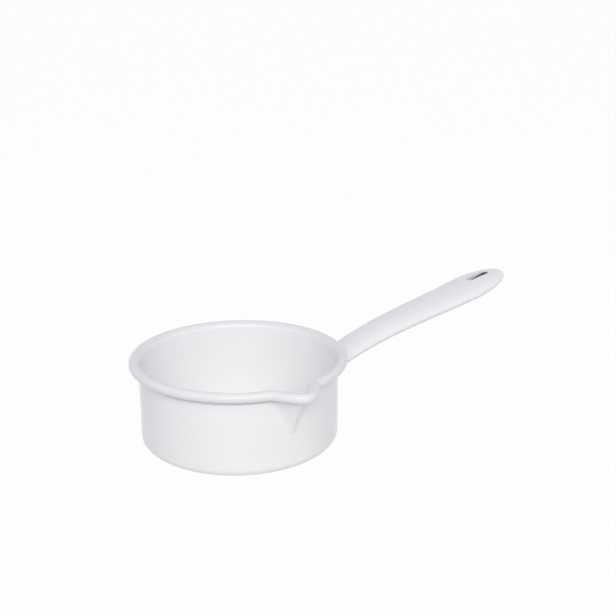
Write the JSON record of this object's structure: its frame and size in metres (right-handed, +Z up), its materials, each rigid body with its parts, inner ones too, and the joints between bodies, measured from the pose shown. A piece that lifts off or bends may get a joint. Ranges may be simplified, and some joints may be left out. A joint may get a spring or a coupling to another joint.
{
  "type": "milk pan",
  "caption": "Small round enamelled milk pan with straight sides, rolled rim, pouring spout at the side and a long hollow handle with a hanging slot.",
  "frame": {"origin": "centre of the base, on the plane that the pan stands on, on the axis of the round body", "axes": "+Z up along the pan's axis, +X along the handle, the spout points along -Y"},
  "size_m": [0.2851, 0.1466, 0.0749],
  "materials": {
    "pan_enamel": "glossy white vitreous enamel on steel sheet, smooth, thin darker line where it turns away",
    "handle_enamel": "glossy white vitreous enamel on steel sheet, smooth, thin darker line where it turns away",
    "weld_enamel": "the same enamel, slightly uneven where it covers the weld"
  },
  "bodies": {
    "root": {"pan_body": "pan_enamel", "handle_upper_shell": "handle_enamel", "handle_lower_shell": "handle_enamel", "handle_root_weld": "weld_enamel"}
  },
  "joints": []
}
